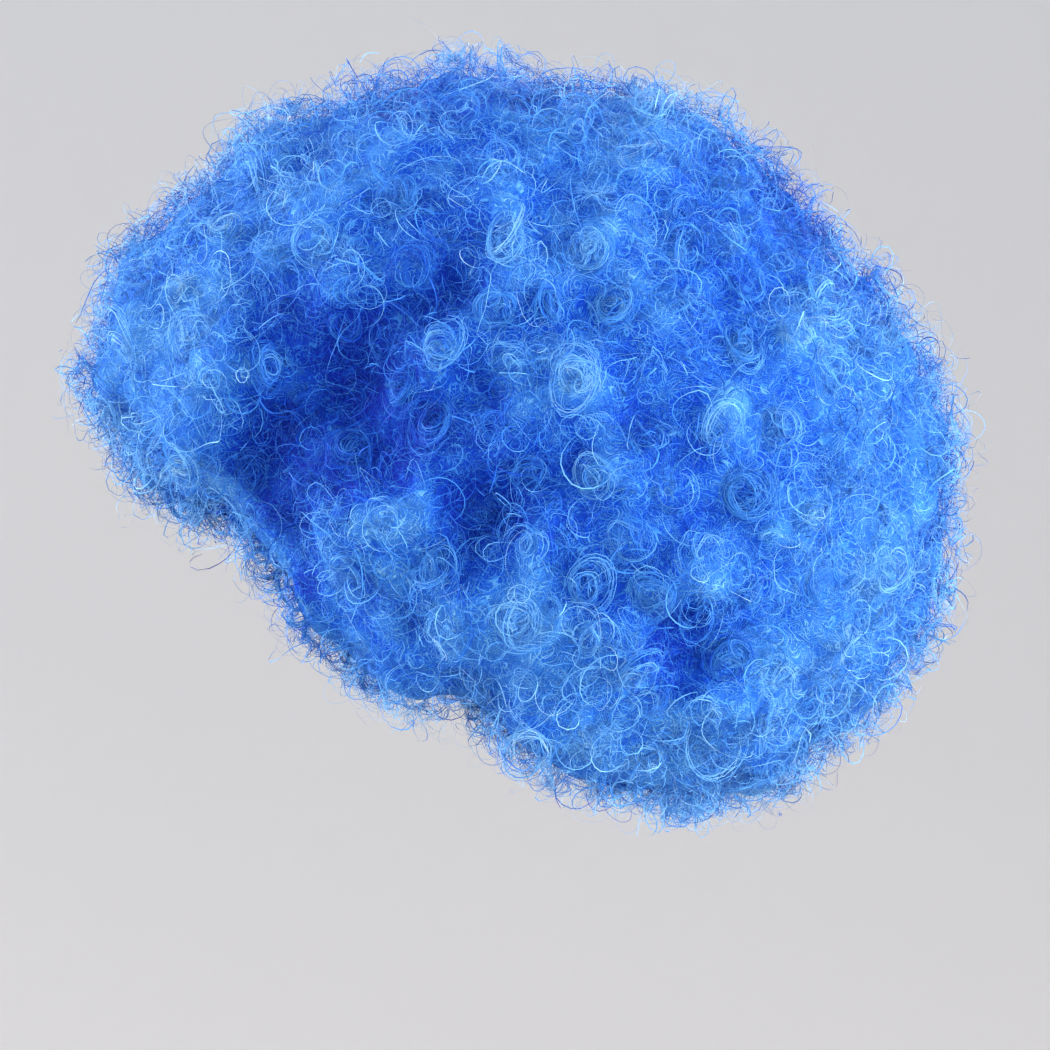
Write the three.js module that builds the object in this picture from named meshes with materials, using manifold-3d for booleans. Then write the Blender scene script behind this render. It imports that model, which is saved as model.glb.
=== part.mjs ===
// An afro wig: a stretch cap with an elastic edge band, inside a deep coat of tight curls.
// Millimetres, +Z up. The face looks along -Y and the wearer's left is +X. The origin is the inside of
// the cap's crown, where the top of the head bears.
import * as THREE from "three";
import { mergeVertices } from "three/addons/utils/BufferGeometryUtils.js";
import Module from "manifold-3d";

const wasm = await Module();
wasm.setup();

// The head that the cap is cut for
const HEAD_FRONT = 91; // crown point to forehead, along Y
const HEAD_BACK = 93; // crown point to the back of the head, along Y
const HEAD_HALF_BREADTH = 74; // at its widest level
const DOME_HEIGHT = 95; // crown down to the widest level
const DOME_FULLNESS = 2.25; // exponent of the dome's outlines: 2 is an ellipse, more is squarer
const HEAD_EGG = 0.05; // how much broader the head is behind than in front
const NECK_DROP = 165; // the widest level down to the foot of the neck

// The cap and its edge band
const CAP_WALL = 1.5;
const RIM_DROP_FRONT = 55; // crown down to the cap's edge at the forehead
const RIM_DROP_BACK = 158; // crown down to the cap's edge at the nape
const BAND_WIDTH = 14;
const BAND_GRIP = 1; // how far the relaxed elastic stands inside the cap's wall
const SEAM_GAP = 0.3; // between pieces that are sewn together

// The coat of curls. The first four are depths of hair outside the head.
const HAIR_FRONT = 43;
const HAIR_BACK = 76;
const HAIR_CROWN = 54;
const HAIR_SIDE = 60;
const HAIR_CENTRE_DROP = 73; // crown down to the middle of the coat
const HAIR_BELOW = 117; // the middle of the coat down to its edge beside the neck
const FACE_NARROWING = 0.1; // how much narrower the coat is at the fringe than at its middle

// The locks that make the coat's outer form
const LOCK_COUNT = 172;
const LOCK_RADIUS = 21;
const LOCK_UNEVENNESS = 0.17; // how much smaller or larger a lock may be
const LOCK_RELIEF = 8; // how far a lock stands out of the coat
const LOCK_SCATTER = 0.35; // how far a lock strays, as a share of the spacing
const LOCK_LEAN = 0.7; // how far a lock's tip leans sideways, as a share of its length
const LOCK_SIDES = 7;

// How finely the pieces' surfaces are divided
const AROUND = 28;
const CAP_ROWS = 9;
const BAND_ROWS = 2;
const NECK_ROWS = 5;
const BODY_DETAIL = 6;
const SEARCH_STEPS = 40; // halvings in the search for the cap's edge
const WELD = 1e-3; // vertices closer than this become one

// The coat's outline from the side. bearing is in degrees round the coat's middle: 0 towards the back, 90
// up, 180 towards the face, 270 down. reach is a share of an ellipse through the four named depths.
// fullness is the exponent of the section across the head: 2 is round, more is squarer.
const SIDE_OUTLINE = [
  { bearing: 0, reach: 1, fullness: 2.2 },
  { bearing: 15, reach: 1, fullness: 2.15 },
  { bearing: 30, reach: 0.935, fullness: 2.1 },
  { bearing: 45, reach: 0.94, fullness: 2.05 },
  { bearing: 60, reach: 0.995, fullness: 2.05 },
  { bearing: 75, reach: 0.995, fullness: 2.05 },
  { bearing: 90, reach: 1.01, fullness: 2.05 },
  { bearing: 105, reach: 1.03, fullness: 2.05 },
  { bearing: 120, reach: 1.045, fullness: 2.1 },
  { bearing: 135, reach: 1.09, fullness: 2.15 },
  { bearing: 150, reach: 1.035, fullness: 2.25 },
  { bearing: 165, reach: 1.055, fullness: 2.4 },
  { bearing: 180, reach: 0.96, fullness: 2.5 },
  { bearing: 195, reach: 0.82, fullness: 2.6 },
  { bearing: 210, reach: 0.763, fullness: 2.9 },
  { bearing: 225, reach: 0.825, fullness: 3.2 },
  { bearing: 240, reach: 0.92, fullness: 3.4 },
  { bearing: 255, reach: 0.855, fullness: 3.4 },
  { bearing: 270, reach: 1.06, fullness: 3.2 },
  { bearing: 285, reach: 1.21, fullness: 3.0 },
  { bearing: 300, reach: 1.2, fullness: 2.8 },
  { bearing: 315, reach: 1.205, fullness: 2.6 },
  { bearing: 330, reach: 1.13, fullness: 2.4 },
  { bearing: 345, reach: 1.06, fullness: 2.3 },
];

// The head and neck below the widest level, as shares of the sizes at that level. drop is a share of
// NECK_DROP.
const NECK_SECTIONS = [
  { drop: 0, front: 1, back: 1, breadth: 1 },
  { drop: 0.25, front: 1, back: 0.97, breadth: 0.99 },
  { drop: 0.5, front: 1, back: 0.87, breadth: 0.92 },
  { drop: 0.75, front: 1, back: 0.77, breadth: 0.83 },
  { drop: 1, front: 1, back: 0.74, breadth: 0.8 },
];

// The main dents between clumps of curls. side is 1 on the wearer's left and -1 on the right. along and
// up place a dent as shares of the coat's reach from its middle, width is a share of that reach too, and
// depth is a share of the depth of hair at the side.
const DENTS = [
  { side: 1, along: -0.41, up: 0.08, width: 0.17, depth: 0.4 },
  { side: 1, along: -0.53, up: -0.16, width: 0.13, depth: 0.26 },
  { side: 1, along: -0.08, up: -0.24, width: 0.13, depth: 0.2 },
  { side: 1, along: 0.38, up: -0.6, width: 0.13, depth: 0.16 },
  { side: 1, along: -0.22, up: 0.39, width: 0.12, depth: 0.16 },
  { side: -1, along: -0.45, up: 0.22, width: 0.17, depth: 0.36 },
  { side: -1, along: 0.1, up: -0.15, width: 0.14, depth: 0.2 },
  { side: -1, along: 0.48, up: 0.3, width: 0.14, depth: 0.16 },
  { side: -1, along: -0.05, up: 0.5, width: 0.12, depth: 0.14 },
];

// A number from 0 to 1 that looks random and stays the same for the same index and use
function chance(index, use) {
  const value = Math.sin(index * 127.1 + use * 311.7) * 43758.5453;
  return value - Math.floor(value);
}

// A closed Catmull-Rom curve through one column of SIDE_OUTLINE
function outlineValue(bearing, column) {
  const count = SIDE_OUTLINE.length;
  const place = (THREE.MathUtils.euclideanModulo(bearing, 360) / 360) * count;
  const row = Math.floor(place);
  const t = place - row;
  const at = (k) => SIDE_OUTLINE[(row + k + count) % count][column];
  const [a, b, c, d] = [at(-1), at(0), at(1), at(2)];
  return b + 0.5 * t * (c - a + t * (2 * a - 5 * b + 4 * c - d + t * (3 * (b - c) + d - a)));
}

// What a table's column holds between two of its rows
function between(table, key, column, value) {
  const last = table.length - 1;
  const clamped = THREE.MathUtils.clamp(value, table[0][key], table[last][key]);
  const row = Math.min(table.findLastIndex((entry) => entry[key] <= clamped), last - 1);
  const share = (clamped - table[row][key]) / (table[row + 1][key] - table[row][key]);
  return THREE.MathUtils.lerp(table[row][column], table[row + 1][column], share);
}

// Sine and cosine drawn out towards a squarer circle
function squared(value, fullness) {
  return Math.sign(value) * Math.abs(value) ** (2 / fullness);
}

// Reaches of the coat from its middle
const coatMiddle = new THREE.Vector3(
  0,
  (HEAD_BACK + HAIR_BACK - HEAD_FRONT - HAIR_FRONT) / 2,
  -HAIR_CENTRE_DROP,
);
const reachBack = HEAD_BACK + HAIR_BACK - coatMiddle.y;
const reachFront = HEAD_FRONT + HAIR_FRONT + coatMiddle.y;
const reachUp = HAIR_CROWN + HAIR_CENTRE_DROP;
const reachSide = HEAD_HALF_BREADTH + HAIR_SIDE;

// A point of the head's form grown by offset. down runs from 0 at the crown to 1 at the widest level and
// to 2 at the neck's foot. around is in radians: 0 at the back of the head, a quarter turn at its left.
function headPoint(down, around, offset) {
  const neck = Math.max(down - 1, 0);
  const quarter = (Math.min(down, 1) * Math.PI) / 2;
  const reach = squared(Math.sin(quarter), DOME_FULLNESS);
  const rise = squared(Math.cos(quarter), DOME_FULLNESS);
  const ahead = Math.cos(around) < 0;
  const length = ahead ? HEAD_FRONT : HEAD_BACK;
  const lengthShare = between(NECK_SECTIONS, "drop", ahead ? "front" : "back", neck);
  const breadthShare = between(NECK_SECTIONS, "drop", "breadth", neck);
  const egg = 1 + HEAD_EGG * Math.cos(around);
  const halfBreadth = HEAD_HALF_BREADTH * breadthShare * egg + offset;
  return new THREE.Vector3(
    halfBreadth * reach * squared(Math.sin(around), DOME_FULLNESS),
    (length * lengthShare + offset) * reach * squared(Math.cos(around), DOME_FULLNESS),
    (DOME_HEIGHT + offset) * rise - DOME_HEIGHT - NECK_DROP * neck,
  );
}

const atCrown = () => 0;
const atNeckFoot = () => 2;

// Height above the cap's edge, which lies in one tilted plane
const rimSlope = (RIM_DROP_BACK - RIM_DROP_FRONT) / (HEAD_FRONT + HEAD_BACK);

function heightOverRim(point) {
  return point.z + RIM_DROP_FRONT + rimSlope * (point.y + HEAD_FRONT);
}

// How far down the head's form is at a height over the rim
function downAtHeight(height, around, offset) {
  let above = atCrown();
  let below = atNeckFoot();
  for (let step = 0; step < SEARCH_STEPS; step += 1) {
    const middle = (above + below) / 2;
    if (heightOverRim(headPoint(middle, around, offset)) > height) {
      above = middle;
    } else {
      below = middle;
    }
  }
  return (above + below) / 2;
}

// A closed surface through rings of points. A ring whose points coincide closes an end.
function geometryFromRings(rings, closed) {
  const count = rings[0].length;
  const positions = rings.flat().flatMap((point) => point.toArray());
  const index = [];
  const spans = closed ? rings.length : rings.length - 1;
  for (let ring = 0; ring < spans; ring += 1) {
    const near = ring * count;
    const far = ((ring + 1) % rings.length) * count;
    for (let side = 0; side < count; side += 1) {
      const next = (side + 1) % count;
      index.push(near + side, far + next, far + side, near + side, near + next, far + next);
    }
  }
  const geometry = new THREE.BufferGeometry();
  geometry.setAttribute("position", new THREE.Float32BufferAttribute(positions, 3));
  geometry.setIndex(index);
  return withoutSlivers(mergeVertices(geometry, WELD));
}

// The same geometry without the triangles that lost a side when vertices merged
function withoutSlivers(geometry) {
  const kept = [];
  const corners = geometry.index.array;
  for (let i = 0; i < corners.length; i += 3) {
    const [a, b, c] = corners.slice(i, i + 3);
    if (a !== b && b !== c && a !== c) kept.push(a, b, c);
  }
  geometry.setIndex(kept);
  return geometry;
}

function aroundRing(pointAt) {
  return Array.from({ length: AROUND }, (_, side) => pointAt((side / AROUND) * Math.PI * 2));
}

// Rings down the head's form. from and to give how far down they start and end at an angle.
function headRings(offset, from, to, rows) {
  return Array.from({ length: rows + 1 }, (_, row) =>
    aroundRing((around) => {
      const down = THREE.MathUtils.lerp(from(around), to(around), row / rows);
      return headPoint(down, around, offset);
    }),
  );
}

const atRim = (height, offset) => (around) => downAtHeight(height, around, offset);

// The upper edge of the band, as a height over the rim
const bandTop = BAND_WIDTH * Math.hypot(1, rimSlope);

// The stretch cap: a thin dome that ends on the band
function capGeometry() {
  const edge = bandTop + SEAM_GAP;
  const inner = headRings(0, atCrown, atRim(edge, 0), CAP_ROWS);
  const outer = headRings(CAP_WALL, atCrown, atRim(edge, CAP_WALL), CAP_ROWS);
  return geometryFromRings([...outer, ...inner.reverse()], false);
}

// The elastic band that is sewn to the cap's edge
function bandGeometry() {
  const inner = headRings(-BAND_GRIP, atRim(bandTop, -BAND_GRIP), atRim(0, -BAND_GRIP), BAND_ROWS);
  const outer = headRings(CAP_WALL, atRim(bandTop, CAP_WALL), atRim(0, CAP_WALL), BAND_ROWS);
  return geometryFromRings([...outer, ...inner.reverse()], true);
}

// The room that the cap, the head and the neck take out of the coat, carried on below it
function hollowGeometry() {
  const offset = CAP_WALL + SEAM_GAP;
  const rings = [
    ...headRings(offset, atCrown, atRim(bandTop, offset), CAP_ROWS),
    ...headRings(offset, atRim(bandTop, offset), atRim(0, offset), BAND_ROWS).slice(1),
    ...headRings(offset, atRim(0, offset), atNeckFoot, NECK_ROWS).slice(1),
  ];
  const below = new THREE.Vector3(0, 0, -HAIR_BELOW);
  const end = rings.at(-1).map((point) => point.clone().add(below));
  const centre = new THREE.Vector3(0, 0, end[0].z);
  return geometryFromRings([...rings, end, end.map(() => centre)], false);
}

// How deep the dents are at a point of the coat
function dentDepth(point) {
  let depth = 0;
  for (const dent of DENTS) {
    if (dent.side * point.x < 0) continue;
    const along = (point.y - coatMiddle.y) / reachBack - dent.along;
    const up = (point.z - coatMiddle.z) / reachUp - dent.up;
    const away = (along * along + up * up) / (dent.width * dent.width);
    const sideways = THREE.MathUtils.smoothstep(Math.abs(point.x), 0, HEAD_HALF_BREADTH);
    depth += dent.depth * HAIR_SIDE * Math.exp(-away) * sideways;
  }
  return depth;
}

// The coat's outer form along a direction from its middle, less inset
function coatPoint(direction, inset) {
  const flat = Math.max(Math.hypot(direction.y, direction.z), 1e-9);
  const bearing = THREE.MathUtils.radToDeg(Math.atan2(direction.z, direction.y));
  const ellipse = Math.hypot(
    (direction.y / flat) / (direction.y > 0 ? reachBack : reachFront),
    (direction.z / flat) / (direction.z > 0 ? reachUp : HAIR_BELOW),
  );
  const outline = outlineValue(bearing, "reach") / ellipse;
  const fullness = outlineValue(bearing, "fullness");
  const across = (Math.abs(direction.x) / reachSide) ** fullness;
  const reach = (across + (flat / outline) ** fullness) ** (-1 / fullness);
  const point = direction.clone().multiplyScalar(reach).add(coatMiddle);
  point.addScaledVector(direction, -inset - dentDepth(point));
  const ahead = THREE.MathUtils.clamp((coatMiddle.y - point.y) / reachFront, 0, 1);
  point.x *= 1 - FACE_NARROWING * ahead;
  return point;
}

// A geometry as a solid that can be joined and cut
function solidFrom(geometry) {
  const plain = geometry.clone();
  plain.deleteAttribute("normal");
  plain.deleteAttribute("uv");
  const merged = withoutSlivers(mergeVertices(plain, WELD));
  const vertProperties = merged.attributes.position.array;
  const triVerts = new Uint32Array(merged.index.array);
  return new wasm.Manifold(new wasm.Mesh({ numProp: 3, vertProperties, triVerts }));
}

function geometryFrom(solid) {
  const { vertProperties, triVerts } = solid.getMesh();
  const geometry = new THREE.BufferGeometry();
  geometry.setAttribute("position", new THREE.BufferAttribute(vertProperties, 3));
  geometry.setIndex(new THREE.BufferAttribute(triVerts, 1));
  return geometry;
}

// The body of hair that the locks stand on
function coatBodySolid() {
  const geometry = new THREE.IcosahedronGeometry(1, BODY_DETAIL);
  const positions = geometry.attributes.position;
  for (let i = 0; i < positions.count; i += 1) {
    const direction = new THREE.Vector3().fromBufferAttribute(positions, i).normalize();
    positions.setXYZ(i, ...coatPoint(direction, LOCK_RELIEF).toArray());
  }
  return solidFrom(geometry);
}

// One lock: a round knob, its lower half sunk in the coat
function lockSolid(radius) {
  const profile = [
    [0, -1],
    [0.95, -0.3],
    [0.97, 0.25],
    [0.68, 0.73],
    [0, 1],
  ].map(([out, along]) => new THREE.Vector2(out * radius, along * radius));
  const geometry = new THREE.LatheGeometry(profile, LOCK_SIDES);
  return solidFrom(geometry);
}

// Directions spread evenly over a sphere by the golden angle
function evenDirections(count) {
  const golden = Math.PI * (3 - Math.sqrt(5));
  return Array.from({ length: count }, (_, i) => {
    const z = 1 - (2 * (i + 0.5)) / count;
    const flat = Math.sqrt(1 - z * z);
    return new THREE.Vector3(flat * Math.cos(golden * i), flat * Math.sin(golden * i), z);
  });
}

// Whether a point lies in the neck, or in the face above it
function insideNeck(point) {
  const neck = (-DOME_HEIGHT - point.z) / NECK_DROP;
  if (neck < 0) return false;
  const around = Math.atan2(point.x / HEAD_HALF_BREADTH, point.y / HEAD_BACK);
  const skin = headPoint(1 + neck, around, CAP_WALL);
  return Math.hypot(point.x, point.y) < Math.hypot(skin.x, skin.y);
}

// The locks, each with its knob at the coat's outline and leaning its own way
function lockSolids() {
  const spacing = Math.sqrt((4 * Math.PI) / LOCK_COUNT);
  const locks = [];
  evenDirections(LOCK_COUNT).forEach((direction, i) => {
    const jitter = new THREE.Vector3(chance(i, 1), chance(i, 2), chance(i, 3)).subScalar(0.5);
    direction.addScaledVector(jitter, LOCK_SCATTER * spacing).normalize();
    const radius = LOCK_RADIUS * (1 + LOCK_UNEVENNESS * (2 * chance(i, 4) - 1));
    const centre = coatPoint(direction, radius);
    if (insideNeck(centre)) return;
    const lean = new THREE.Vector3(chance(i, 5), chance(i, 6), chance(i, 7)).subScalar(0.5);
    const axis = direction.clone().addScaledVector(lean, LOCK_LEAN).normalize();
    const turn = new THREE.Quaternion().setFromUnitVectors(new THREE.Vector3(0, 1, 0), axis);
    const place = new THREE.Matrix4().compose(centre, turn, new THREE.Vector3(1, 1, 1));
    locks.push(lockSolid(radius).transform(place.toArray()));
  });
  return locks;
}

// The coat of curls: a thick body of hair with locks fused all over it, hollow for the head
function hairGeometry() {
  const outer = wasm.Manifold.union([coatBodySolid(), ...lockSolids()]);
  return geometryFrom(outer.subtract(solidFrom(hollowGeometry())));
}

function piece(name, geometry, color, roughness) {
  const material = new THREE.MeshStandardMaterial({ color, roughness, metalness: 0 });
  const mesh = new THREE.Mesh(geometry, material);
  mesh.name = name;
  return mesh;
}

const wig = new THREE.Group();
wig.add(piece("cap", capGeometry(), 0x1c3f9c, 0.9));
wig.add(piece("edge_band", bandGeometry(), 0x173a94, 0.85));
wig.add(piece("hair", hairGeometry(), 0x2f72dc, 0.7));

export default wig;
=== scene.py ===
"""A bright blue afro wig: a tufted body of fibre under ringlets, loose curls, frizz and flyaways, with a
net cap and an elastic edge band inside. Metres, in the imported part's frame: the wig's front is towards -Y."""
import math

import bmesh
import bpy
import numpy as np
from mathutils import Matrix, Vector
from mathutils.bvhtree import BVHTree


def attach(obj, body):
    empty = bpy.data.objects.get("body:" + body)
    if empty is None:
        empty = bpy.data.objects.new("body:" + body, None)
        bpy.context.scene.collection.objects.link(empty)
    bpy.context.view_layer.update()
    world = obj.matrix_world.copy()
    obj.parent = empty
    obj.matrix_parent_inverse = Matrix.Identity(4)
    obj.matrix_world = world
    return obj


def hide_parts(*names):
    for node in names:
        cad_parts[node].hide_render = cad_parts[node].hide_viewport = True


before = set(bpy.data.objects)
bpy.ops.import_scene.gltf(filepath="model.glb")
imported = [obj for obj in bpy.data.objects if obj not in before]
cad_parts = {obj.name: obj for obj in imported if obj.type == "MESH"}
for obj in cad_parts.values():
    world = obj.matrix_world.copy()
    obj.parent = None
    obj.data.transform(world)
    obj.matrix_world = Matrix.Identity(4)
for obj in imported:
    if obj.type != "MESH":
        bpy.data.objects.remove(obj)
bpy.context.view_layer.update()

# The photograph's view: how large it shows the wig, and which of its pixels the middle of the frame is
PHOTO_SIDE_PX = 1050
PX_PER_METRE = 2900.0
CROWN_PX = (470.0, 219.0)
CAMERA_DISTANCE = 1.6
SENSOR_MM = 36.0

# The floor and the wall round it
STAGE_RADIUS = 3.4
STAGE_BEND = 1.0
STAGE_FLOOR = -1.25
STAGE_TOP = 1.7
STAGE_SIDES = 64
STAGE_STEPS = 12

# Geometry
SHORTEST = 1e-12  # no vector is taken as shorter than this
WELD = 1e-6  # doubled vertices are welded within this
NEAR_UPRIGHT = 0.9  # a unit vector with more of Z than this is treated as upright

# The body of fibre under the curls
BODY_VOXEL = 0.0038
BODY_INSET = 0.0027  # how far its skin lies inside the coat
HOLLOW_INSET = 0.0012  # how far its lining keeps off the cap
CAP_NEAR = 0.004  # what lies nearer than this to the cap or the band is lining
LUMP_ROUNDS = 10  # rounds of smoothing that leave the lumps
DENT_ROUNDS = 320  # further rounds, that leave no lumps or dents
SKIN_SOFTNESS = 0.6  # how much of the sharper forms is smoothed off the skin
LEVEL_PERCENTILES = (2, 60)  # of how high the lumps stand, for levels 0 and 1; low levels are painted darker as shade
DENT_SHARE = 0.95  # the share of its level that the deepest dent takes from a point, painting shade into the dent
FACES_IN = -0.2  # normals that point away from the wig's axis by less than this are turned inwards
RIM_SHARPNESS = 0.0028  # how far points at the rim stand out of the smoothed form
RIM_UPTURN = 0.1  # normals at the rim point up by less than this

# The domes under the tufts, in tuft radii, and their lowest and highest rise in metres
DOME_REACH = 1.25
DOME_HEIGHT = 0.34
DOME_POWER = 1.5
DOME_LIMITS = (-0.0015, 0.0036)
DOME_PERCENTILES = (10, 92)  # of the rise, for the lowest and highest tone: painted shade in the gaps, painted light on the dome tops

# Tufts: how far apart they stand, their radii and how far their middles are domed. Clearness runs from 0
# to 1, and above CLEAR_FROM a tuft has neat rings.
TUFT_SEED = 5
APART = (0.8, 1.3)  # how near the next may stand, in spacings
RINGLET_SPACING = 0.0185
RINGLET_RADII = (0.0062, 0.0102)
RINGLET_CROWNS = (-0.3, 1.0)
FILLER_SPACING = 0.0115
FILLER_RADII = (0.005, 0.008)
FILLER_CROWNS = (0.3, 1.0)
CLEAR_FROM = 0.5
CLEAR_SHARE = 0.12  # of the ringlets that the photograph doesn't show
CLEAR_VALUE = 0.7  # their clearness

# Where loose strands take root: seldom on clear ringlets, out to OPEN_REACH radii, and often at the rim
OPEN_REACH = 1.7
OPEN_LOSS = 0.2
RIM_GAIN = 1.7

# How a curl is wound, in curl radii. LOCK_TILT and LOCK_SHIFT give a perfectly clear curl's value and what
# is added to it for a quite unclear one. The other pairs are ranges.
LOCK_TILT = (0.21, 0.36)
LOCK_SHIFT = (0.09, 0.18)
NESTED_SIZES = (1.08, 0.25)  # from the outermost to the innermost lock of a clear curl
NESTED_SPREAD = 0.08
LOOSE_SIZES = (0.35, 1.1)  # of the locks of an unclear one
CLEAR_TURNS = 0.25  # turns added to a clear curl
LOCK_SHRINK = (-0.15, 0.75)  # how far a lock winds inwards
CLEAR_SHRINK = 0.55  # what a clear curl keeps of it
SAME_HAND = 0.8  # the share of a curl's locks that wind the same way
SQUASH = (0.72, 1.0)
LOCK_LEVELS = (0.0, 0.22)
LOCK_SLOPES = (-0.6, 0.15)  # how far a lock rises from one end to the other
CLEAR_FLATNESS = 0.6  # the share of it that a perfectly clear curl loses
STRAND_PHASE = 0.28
STRAND_SIZE = 0.085
SIZE_LIMITS = (0.1, 1.35)
RADIAL_TWIST = 0.5  # how far the fibres' flat sides are turned outwards
LOCK_SHADES = 0.3  # the share of its shade that a fibre takes from its lock
CURL_FOOT = 0.15  # the height tone, painted shade that darkens low fibres, is 0 this far under the skin
CURL_SPAN = 0.55  # and 1 this far above there

# The rest of it, in metres and in waves along a fibre
STRAND_RISE = 0.00035
LOCK_WOBBLE = 0.0009
LOCK_WAVES = (0.7, 1.3)
STRAND_WOBBLE = 0.0004
STRAND_WAVES = (1, 2, 3)

# Layers of curls. A curl has some locks of some strands, and a strand has some steps. shade is how much of its own
# shade a fibre keeps, and the value after it is painted light: what clearness adds to it, so that clear ringlets are
# painted lighter.
CURL_LAYERS = {
    "ringlets_clear": {
        "seed": 11,
        "locks": 7,
        "strands": 6,
        "steps": 15,
        "turns": (0.4, 0.95),
        "width": (0.00017, 0.00027),
        "shade": 0.85,
        "clear_painted_light": 0.05,
        "lift": 0.0009,
    },
    "ringlets_hazy": {
        "seed": 13,
        "locks": 4,
        "strands": 5,
        "steps": 14,
        "turns": (0.4, 0.95),
        "width": (0.00017, 0.00027),
        "shade": 0.85,
        "clear_painted_light": 0.05,
        "lift": 0.0007,
    },
    "bent_locks": {
        "seed": 17,
        "locks": 1,
        "strands": 6,
        "steps": 8,
        "turns": (0.35, 0.75),
        "width": (0.00016, 0.00025),
        "shade": 0.72,
        "clear_painted_light": 0,
    },
    "rim_curls": {
        "seed": 18,
        "locks": 2,
        "strands": 11,
        "steps": 13,
        "turns": (0.7, 1.2),
        "width": (0.0002, 0.0003),
        "shade": 1,
        "clear_painted_light": 0,
    },
}

# How ringlets lean, and how much of that a perfectly clear one loses
RINGLET_LEANS = (0.05, 0.95)
CLEAR_UPRIGHT = 0.8

# Bent locks between the ringlets
BENT_COUNT = 620
BENT_LEANS = (0.2, 1.6)
BENT_RADII = (0.0045, 0.0092)
BENT_LIFTS = (-0.002, 0.001)
BENT_CROWN = 0.5
BENT_CLEAR = 0.0

# Curls that hang at the rim
RIM_SPACING = 0.0062
RIM_FLATTENED = (1, 1, 0.15)
RIM_LEAN = 0.35
RIM_RADII = (0.006, 0.011)
RIM_OUT = 0.0012
RIM_SPREAD = 0.0015
RIM_UP = 0.3  # in curl radii
RIM_CROWN = 0.2
RIM_CLEAR = 0.4

# Single strands: the undercoat and the frizz, between two depths over the coat
TANGLES = {
    "undercoat": {
        "seed": 19,
        "count": 4600,
        "steps": 10,
        "step": 0.0033,
        "radius": (0.004, 0.009),
        "depth": (-0.0018, 0.0),
        "width": (0.0003, 0.00045),
    },
    "frizz_1": {
        "seed": 21,
        "count": 5200,
        "steps": 13,
        "step": 0.0024,
        "radius": (0.0028, 0.0085),
        "depth": (-0.0006, 0.0022),
        "width": (0.00018, 0.00028),
    },
    "frizz_2": {
        "seed": 22,
        "count": 5200,
        "steps": 13,
        "step": 0.0024,
        "radius": (0.0022, 0.007),
        "depth": (-0.0004, 0.0032),
        "width": (0.00014, 0.00024),
    },
}
TANGLE_ASIDE = 0.0012
TANGLE_STEPS = (0.75, 1.15)
TANGLE_TWIST = 0.7
TANGLE_SHADES = (0, 0.85)
TANGLE_FOOT = 0.002  # the height tone, painted shade that darkens low strands, is 0 this far under the skin
TANGLE_SPAN = 0.006  # and 1 this far above there
TANGLE_PATH = {"drift": 0.2, "pull": 0.45, "start_up": 0.2}

# Flyaways. How far they stand over FLY_LOWEST comes from a gamma distribution.
FLY_SEED = 31
FLY_COUNT = 5000
FLY_STEPS = 13
FLY_SUNK = (0, 0.0015)
FLY_RADII = (0.003, 0.0085)
FLY_STEP_LENGTHS = (0.0018, 0.003)
FLY_SHAPE = 1.7
FLY_SCALE = 0.0024
FLY_LOWEST = 0.0018
FLY_HIGHEST = 0.0115
# Kept light: painted light standing in for light shining through the fine fibres at the outline.
FLY_SHADES = (0.25, 0.8)
FLY_WIDTHS = (0.00008, 0.00013)
FLY_PATH = {"drift": 0.16, "pull": 0.3, "start_up": 1.3}

BEND_SPREAD = (0.6, 1.4)  # how unevenly a loose strand bends from step to step
TAPER_END = 0.12  # how blunt a fibre's ends are, in radians from the sine's own end

# A fibre's cell in the baked picture: how much wider than high, and the part of it that the fibre fills
CELL_ASPECT = 3
CELL_ACROSS = (0.08, 0.92)
CELL_UP = (0.25, 0.75)

# The dye's blues, darkened by painted shade in the deepest dents and lightened by painted light on the lit tips
DEEP = (0.0002, 0.0125, 0.26)
DARK = (0.0008, 0.045, 0.40)
MIDDLE = (0.031, 0.176, 0.53)
LIGHT = (0.133, 0.352, 0.635)
PALE = (0.34, 0.545, 0.73)
FIBRE_TONES = ((0.14, DEEP), (0.36, DARK), (0.60, MIDDLE), (0.82, LIGHT), (1.0, PALE))
BODY_TONES = ((0.12, DEEP), (0.36, DARK), (0.66, MIDDLE), (0.95, LIGHT))
NET_TONES = ((0.25, (0.002, 0.014, 0.13)), (0.6, (0.010, 0.070, 0.40)))
ELASTIC_TONES = ((0.2, (0.002, 0.012, 0.13)), (0.8, (0.009, 0.055, 0.36)))
FIBRE_GLOSS = (0.4, 0.75, 1.0, 1)
FIBRE_SHEEN = (0.55, 0.8, 1.0, 1)
FIBRE_CLOUD = 30.0
BODY_CLOUD = 40.0
BODY_FUZZ = 1400.0
NET_SCALE = 520.0
RIB_SCALE = 380.0

# Lines of strands drawn on the body: where a wave's crest counts as a line, and how the lines fade in and out
LINE_FROM = 0.45
FADE_RANGE = (0.35, 0.65)
FADE_FINER = 4

# How much a fibre's tone owes to its own shade, its height over the skin, the level of the skin there, and slow changes
# of the dye; height and level are painted shade, darker for low fibres and for fibres in dents
CURL_WEIGHTS = (0.44, 0.27, 0.32, 0.08)
LOOSE_WEIGHTS = (0.44, 0.20, 0.31, 0.10)
UNDER_WEIGHTS = (0.28, 0.20, 0.40, 0.08)

# The same for the body's lines, the domes, the level, fuzz and slow changes; the domes and the level paint shade into
# the gaps and dents
BODY_WEIGHTS = (0.38, 0.16, 0.34, 0.12, 0.06)

# The backdrop's tones from STAGE_FLOOR up to PAPER_TOP, shifted by up to PAPER_GRAIN: painted shade darkens the floor
# and painted light makes the bend palest
PAPER_TONES = ((0.04, (0.62, 0.62, 0.62)), (0.35, (0.88, 0.865, 0.87)), (1, (0.775, 0.78, 0.795)))
PAPER_TOP = 0.5
PAPER_GRAIN = 0.04

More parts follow.
